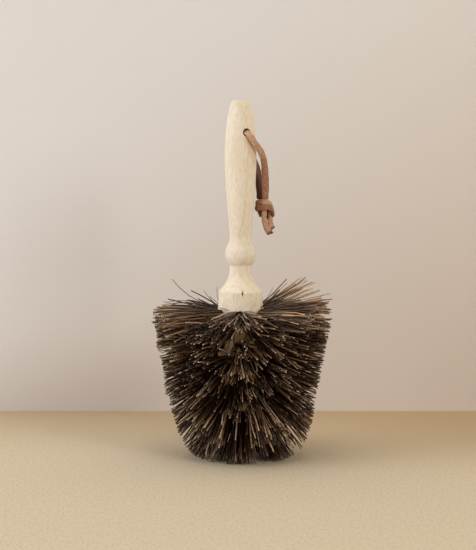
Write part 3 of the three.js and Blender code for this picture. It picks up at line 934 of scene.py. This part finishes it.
def sprung_fibres(tuft, count, highest, longest, chance):
    """The bunch that has sprung up from its tuft, the steepest fibres the shortest."""
    made = []
    for _ in range(count):
        steep = chance.random()
        climb = math.radians(highest * steep + SPRUNG_LEAST)
        flat = unit(tuft.along + tuft.side * chance.gauss(*SPRUNG_ASIDE))
        heading = flat * math.cos(climb) + np.array([0, 0, math.sin(climb)])
        u, v = chance.uniform(*SPRUNG_ACROSS), chance.uniform(*SPRUNG_UP)
        leave = tuft.foot + BUNDLE_RADIUS * (tuft.side * u + tuft.up * v)
        length = (longest - SPRUNG_SHORTER * steep) * chance.uniform(*SPRUNG_LENGTHS)
        tip = leave + heading * length
        aside, up = chance.gauss(*SPRUNG_BOW_ASIDE), chance.gauss(*SPRUNG_BOW_UP)
        bow = (leave + tip) / 2 + length * (tuft.side * aside + tuft.up * up)
        root = leave - tuft.along * FIBRE_SINK
        tone, warmth = chance.uniform(*SPRUNG_TONES) + tuft.tone_and_light, chance.uniform(*SPRUNG_WARMTH)
        thickness = chance.uniform(*SPRUNG_SIZES)
        made.append(Fibre(root, bow, tip, thickness, tone, warmth, chance.gauss(0, CROOK)))
    return made


def loose_fibres(tufts):
    """The bristles that stand away from the top row."""
    made = []
    for k, bow, tip, thickness, tone in LOOSE:
        tuft = tufts[k]
        root = tuft.foot - tuft.along * FIBRE_SINK + tuft.up * BUNDLE_RADIUS * LOOSE_ROOT
        line = [root, np.array(bow, float), np.array(tip, float)]
        made.append(Fibre(*line, thickness, tone, LOOSE_WARMTH, 0.0))
    return made


def fibre_blank():
    """One straight bristle of unit length and radius: its points, faces and cut ends."""
    blank = start_piece(
        "fibre_blank",
        bpy.ops.mesh.primitive_cylinder_add,
        vertices=FIBRE_SIDES,
        radius=1,
        depth=1,
        location=(0, 0, 0.5),
    )
    bpy.ops.object.transform_apply(location=True)
    with editing():
        for bend in FIBRE_BENDS:
            bpy.ops.mesh.select_all(action="SELECT")
            bpy.ops.mesh.bisect(plane_co=(0, 0, bend), plane_no=(0, 0, 1))
    points = np.array([v.co for v in blank.data.vertices])
    faces = [list(p.vertices) for p in blank.data.polygons]
    ends = [abs(p.normal.z) > 0.5 for p in blank.data.polygons]
    bpy.data.objects.remove(blank)
    return points, faces, ends


def lay_fibres(name, fibres, blank, radius):
    """All these fibres as one piece, each the blank bent along its own line."""
    points, faces, ends = blank
    t = points[:, 2:]
    # Any direction that no fibre lies along.
    askew = (0.31, 0.22, 0.93)
    placed, all_faces = [], []
    for fibre in fibres:
        chord = unit(fibre.tip - fibre.root)
        a = unit(np.cross(chord, askew))
        b = np.cross(chord, a)
        line = (1 - t) ** 2 * fibre.root + 2 * t * (1 - t) * fibre.bow + t**2 * fibre.tip
        line += fibre.crook * np.sin(2 * math.pi * t) * (a + b)
        size = radius * fibre.thickness * (1 - FIBRE_TAPER * t)
        ring = line + size * (points[:, :1] * a + points[:, 1:2] * b)
        ring[:, 2] = np.maximum(ring[:, 2], FLOOR_GAP)
        first = len(placed) * len(points)
        placed.append(ring)
        all_faces += [[first + i for i in face] for face in faces]
    piece = mesh_piece(name, np.vstack(placed), all_faces)
    note(piece, "tone", np.repeat([fibre.tone for fibre in fibres], len(points)))
    note(piece, "warmth", np.repeat([fibre.warmth for fibre in fibres], len(points)))
    note(piece, "along", np.tile(points[:, 2], len(fibres)))
    piece.data.polygons.foreach_set("material_index", np.tile(np.array(ends, np.int32), len(fibres)))
    smooth(piece, 80)
    return piece


def lace_point(out, side, rise):
    return HOLE_OUT * out + HOLE_SIDE * side + np.array([0, 0, HOLE_Z + rise])


def strip_widths(line):
    """Across a strip whose flat side faces along the hole."""
    along = unit(np.gradient(line, axis=0))
    flat = along - np.outer(along @ HOLE_OUT, HOLE_OUT)
    flat[np.linalg.norm(flat, axis=1) < 0.2] = LEAVING
    width = np.cross(HOLE_OUT, flat)
    width -= np.sum(width * along, axis=1, keepdims=True) * along
    return unit(width)


def strip_rings(line, widths, size, slant=0.0, taper=(1, 1)):
    """Rings of points round a strip with rounded, ragged edges and eased ends."""
    width, thickness = size
    along = unit(np.gradient(line, axis=0))
    thin = np.cross(along, widths)
    a = np.linspace(0, 2 * math.pi, SECTION_POINTS, endpoint=False)
    x = np.sign(np.cos(a)) * np.abs(np.cos(a)) ** SECTION_ROUNDING * width / 2
    y = np.sign(np.sin(a)) * np.abs(np.sin(a)) ** SECTION_ROUNDING * thickness / 2
    run = np.concatenate([[0], np.cumsum(np.linalg.norm(np.diff(line, axis=0), axis=1))])
    swell = np.interp(run / run[-1], np.linspace(0, 1, len(taper)), taper)
    swell += SWELL * np.sin(run * SWELL_RATE + line[0, 2])
    ragged = np.random.default_rng(SEED).normal(0, RAGGED_EDGE, (2, len(line), 1))
    reach = x * (swell[:, None] + np.where(x > 0, *ragged))
    rings = line[:, None] + widths[:, None] * reach[:, :, None] + thin[:, None] * y[None, :, None]
    rings[-1] += along[-1] * (x / width * slant)[:, None]
    for end, inward in ((0, 1), (-1, -1)):
        middle = rings[end].mean(0)
        eased = middle + (rings[end] - middle) * END_SIZE
        rings[end] += along[end] * inward * END_DEPTH
        rings = np.concatenate([eased[None], rings] if end == 0 else [rings, eased[None]])
    return rings, np.abs(x) / (width / 2)


def lace_piece(name, strips):
    """Strips of leather as one piece. Each has its rings, edge marks, wear with painted shade, and cut
    ends.
    """
    points, faces, edge_marks, wear_and_shade_marks, cut_faces = [], [], [], [], []
    total = 0
    for (rings, edges), wear_and_shade, cut_ends in strips:
        count = len(rings)
        n = SECTION_POINTS
        points.append(rings.reshape(-1, 3))
        edge_marks.append(np.tile(edges, count))
        wear_and_shade_at_rings = np.interp(np.linspace(0, 1, count), np.linspace(0, 1, len(wear_and_shade)), wear_and_shade)
        wear_and_shade_marks.append(np.repeat(wear_and_shade_at_rings, n))
        for i in range(count - 1):
            here = total + i * n
            for k in range(n):
                j = (k + 1) % n
                faces.append([here + k, here + j, here + n + j, here + n + k])
                cut_faces.append(cut_ends and i == count - 2)
        faces.append([total + k for k in reversed(range(n))])
        faces.append([total + (count - 1) * n + k for k in range(n)])
        cut_faces += [False, cut_ends]
        total += count * n
    piece = mesh_piece(name, np.vstack(points), faces)
    note(piece, "edge", np.concatenate(edge_marks))
    note(piece, "wear_and_shade", np.concatenate(wear_and_shade_marks))
    piece.data.polygons.foreach_set("material_index", np.array(cut_faces, np.int32))
    with editing():
        bpy.ops.mesh.select_all(action="SELECT")
        bpy.ops.mesh.normals_make_consistent(inside=False)
    smooth(piece, 50)
    return piece


def strand_strip(front, foot, size):
    route = [lace_point(front * o, s, r) for o, s, r in STRAND_ROUTE + foot]
    line = smooth_line(route, STRAND_RINGS)
    return line, strip_rings(line, strip_widths(line), size, taper=STRAND_TAPER)


def knot_turn(route, size):
    """A turn of the lace round both strands, its flat side against them."""
    spots = [lace_point(o, KNOT_SIDE + s, r - KNOT_DROP) for o, s, r in route]
    line = smooth_line(spots, TURN_RINGS)
    middle = lace_point(0, KNOT_SIDE, -KNOT_DROP)
    out = unit((line - middle) * np.array(KNOT_FACING))
    along = unit(np.gradient(line, axis=0))
    return strip_rings(line, unit(np.cross(out, along)), size)


def knot_core(top, bottom, size):
    line = smooth_line([lace_point(*top), lace_point(*bottom)], CORE_RINGS)
    return strip_rings(line, strip_widths(line), size)


# Operators.


def area_light(name, place, power, size, colour):
    bpy.ops.object.select_all(action="DESELECT")
    bpy.ops.object.light_add(type="AREA", location=place)
    light = bpy.context.active_object
    light.name = name
    light.rotation_euler = (Vector(LIGHTS_AIM) - Vector(place)).to_track_quat("-Z", "Y").to_euler()
    light.data.energy, light.data.size, light.data.color = power, size, colour


class POTBRUSH_OT_stage(bpy.types.Operator):
    """Camera, floor, wall and soft studio light"""

    bl_idname = "potbrush.stage"
    bl_label = "Stage"

    def execute(self, context):
        scene = context.scene
        colours = scene.potbrush_colours
        bpy.ops.object.select_all(action="DESELECT")
        bpy.ops.object.camera_add(location=CAMERA_AT, rotation=(math.radians(90 - CAMERA_TILT), 0, 0))
        scene.camera = context.active_object
        scene.camera.data.lens = CAMERA_LENS
        scene.camera.data.sensor_width = CAMERA_SENSOR
        floor = start_piece("floor", bpy.ops.mesh.primitive_plane_add, size=STAGE_SIZE)
        paper = paper_finish("floor_paper", colours.floor, FLOOR_GRAIN, FLOOR_MOTTLE, FLOOR_FADE)
        floor.data.materials.append(paper)
        upright = (math.pi / 2, 0, 0)
        wall = start_piece("wall", bpy.ops.mesh.primitive_plane_add, size=STAGE_SIZE, rotation=upright)
        bpy.ops.object.transform_apply(rotation=True)
        wall.data.transform(Matrix.Translation((0, WALL_Y, STAGE_SIZE / 2)))
        paper = paper_finish("wall_paper", colours.wall, WALL_GRAIN, WALL_MOTTLE, WALL_FADE)
        wall.data.materials.append(self.one_sided(paper))
        for name, place, power, size, colour in LIGHTS:
            area_light(name, place, power, size, colour)
        world = bpy.data.worlds.new("studio")
        scene.world = world
        world.use_nodes = True
        sky = world.node_tree.nodes["Background"]
        sky.inputs["Color"].default_value = SKY_COLOUR
        sky.inputs["Strength"].default_value = SKY
        scene.view_settings.view_transform = "Standard"
        return {"FINISHED"}

    @staticmethod
    def one_sided(material):
        """The wall is seen from in front alone, so that the brush can be seen from behind."""
        tree = material.node_tree
        nodes = tree.nodes
        mix = nodes.new("ShaderNodeMixShader")
        clear = nodes.new("ShaderNodeBsdfTransparent")
        side = nodes.new("ShaderNodeNewGeometry")
        tree.links.new(side.outputs["Backfacing"], mix.inputs[0])
        tree.links.new(nodes["Principled BSDF"].outputs[0], mix.inputs[1])
        tree.links.new(clear.outputs[0], mix.inputs[2])
        tree.links.new(mix.outputs[0], nodes["Material Output"].inputs["Surface"])
        return material


class POTBRUSH_OT_lace_strands(bpy.types.Operator):
    """The two strands of the lace that hang from the hole's mouths to the knot"""

    bl_idname = "potbrush.lace_strands"
    bl_label = "Lace strands"

    def execute(self, context):
        sizes, colours = context.scene.potbrush_sizes, context.scene.potbrush_colours
        size = (sizes.lace_width / MM, sizes.lace_thickness / MM)
        finishes = [leather_finish(colours), cut_leather_finish(colours)]
        for name, front, foot, wear_and_shade in (
            ("front", 1, FRONT_FOOT, FRONT_WEAR),
            ("back", -1, BACK_FOOT, BACK_PAINTED_SHADE),
        ):
            line, rings = strand_strip(front, foot, size)
            strand = lace_piece(f"leather_{name}_strand", [(rings, wear_and_shade, False)])
            settle(strand, LOOP, finishes, [f"lace_{name}_strand"])
            lace_point(front * WOOD_AT_HOLE, 0, 0) * MM
            line * MM
        return {"FINISHED"}


class POTBRUSH_OT_lace_knot(bpy.types.Operator):
    """The overhand knot, the run through the hole and the two cut ends"""

    bl_idname = "potbrush.lace_knot"
    bl_label = "Lace knot and ends"

    def execute(self, context):
        sizes = context.scene.potbrush_sizes
        size = (sizes.lace_width / MM, sizes.lace_thickness / MM)
        finishes = [bpy.data.materials["lace_leather"], bpy.data.materials["cut_leather"]]
        end = MOUTH - 0.05
        run = smooth_line([lace_point(-end, 0, 0), lace_point(end, 0, 0)], HOLE_RINGS)
        rings = strip_rings(run, strip_widths(run), size)
        piece = lace_piece("leather_hole_run", [(rings, HOLE_WEAR, False)])
        settle(piece, LOOP, finishes, ["lace_hole_run"])
        strips = [(knot_turn(route, strip), wear_and_shade, False) for route, strip, wear_and_shade in KNOT_TURNS]
        for top, foot, share, wear_and_shade in KNOT_CORES:
            strips.append((knot_core(top, foot, (size[0] * share, size[1])), wear_and_shade, False))
        settle(lace_piece("leather_knot", strips), LOOP, finishes, ["lace_knot"])
        for name, route, share, slant, taper in (
            ("long", LONG_TAIL, LONG_WIDTH, LONG_SLANT, LONG_TAPER),
            ("short", SHORT_TAIL, SHORT_WIDTH, SHORT_SLANT, SHORT_TAPER),
        ):
            line = smooth_line([lace_point(*spot) for spot in route], TAIL_RINGS)
            rings = strip_rings(line, strip_widths(line), (size[0] * share, size[1]), slant, taper)
            tail = lace_piece(f"leather_{name}_end", [(rings, TAIL_WEAR, True)])
            settle(tail, LOOP, finishes, [f"lace_{name}_tail"])
        return {"FINISHED"}


class POTBRUSH_OT_turned_body(bpy.types.Operator):
    """The turned birch body with its lace hole and the sockets of its tufts"""

    bl_idname = "potbrush.turned_body"
    bl_label = "Turned body"

    def execute(self, context):
        sizes, colours = context.scene.potbrush_sizes, context.scene.potbrush_colours
        body = turned("turned_birch_body", body_profile(), sizes.turning_steps)
        cut_away(body, hole_drill())
        cut_away(body, socket_drills(rows_of_tufts()))
        smooth(body, 32)
        settle(body, BODY, [birch_finish(colours)], ["wooden_body"])
        return {"FINISHED"}


class POTBRUSH_OT_bristles(bpy.types.Operator):
    """The tufts of plant fibre, in four pieces from the top row to the domed end"""

    bl_idname = "potbrush.bristles"
    bl_label = "Bristles"

    def execute(self, context):
        sizes, colours = context.scene.potbrush_sizes, context.scene.potbrush_colours
        chance = random.Random(SEED)
        finishes = [fibre_finish(colours), cut_finish(colours)]
        blank = fibre_blank()
        rows = rows_of_tufts()
        pieces = {"upper": rows[0:2], "middle": rows[2:4], "lower": rows[4:6], "end": rows[6:]}
        for name, held in pieces.items():
            fibres = [f for row in held for tuft in row for f in fibres_of(tuft, sizes.fibres, chance)]
            if name == "upper":
                for k, (_, *bunch) in SPRUNG.items():
                    fibres += sprung_fibres(rows[0][k], *bunch, chance)
                fibres += loose_fibres(rows[0])
            piece = lay_fibres(f"fibres_{name}", fibres, blank, sizes.fibre_thickness / MM / 2)
            settle(piece, BODY, finishes, [f"bristles_{name}"])
        return {"FINISHED"}


class POTBRUSH_OT_staples(bpy.types.Operator):
    """The finish of the wire staples at the feet of the tufts"""

    bl_idname = "potbrush.staples"
    bl_label = "Staples"

    def execute(self, context):
        finish = wire_finish(context.scene.potbrush_colours)
        for name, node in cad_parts.items():
            if name.startswith("tuft_staple"):
                node.data.materials.clear()
                node.data.materials.append(finish)
        return {"FINISHED"}


class POTBRUSH_PT_panel(bpy.types.Panel):
    """The steps that make the brush, and its sizes and colours"""

    bl_label = "Flowerpot brush"
    bl_idname = "POTBRUSH_PT_panel"
    bl_space_type = "VIEW_3D"
    bl_region_type = "UI"
    bl_category = "Brush"

    def draw(self, context):
        for operator in OPERATORS:
            self.layout.operator(operator.bl_idname)
        for group in (context.scene.potbrush_sizes, context.scene.potbrush_colours):
            for name in group.__annotations__:
                self.layout.prop(group, name)


OPERATORS = (
    POTBRUSH_OT_stage,
    POTBRUSH_OT_lace_strands,
    POTBRUSH_OT_lace_knot,
    POTBRUSH_OT_turned_body,
    POTBRUSH_OT_bristles,
    POTBRUSH_OT_staples,
)
CLASSES = (BrushSizes, BrushColours, *OPERATORS, POTBRUSH_PT_panel)


def register():
    for cls in CLASSES:
        bpy.utils.register_class(cls)
    bpy.types.Scene.potbrush_sizes = bpy.props.PointerProperty(type=BrushSizes)
    bpy.types.Scene.potbrush_colours = bpy.props.PointerProperty(type=BrushColours)


def unregister():
    del bpy.types.Scene.potbrush_colours
    del bpy.types.Scene.potbrush_sizes
    for cls in reversed(CLASSES):
        bpy.utils.unregister_class(cls)


def main():
    register()
    bpy.ops.potbrush.stage()
    bpy.ops.potbrush.lace_strands()
    bpy.ops.potbrush.lace_knot()
    bpy.ops.potbrush.turned_body()
    bpy.ops.potbrush.bristles()
    bpy.ops.potbrush.staples()


if __name__ == "__main__":
    main()
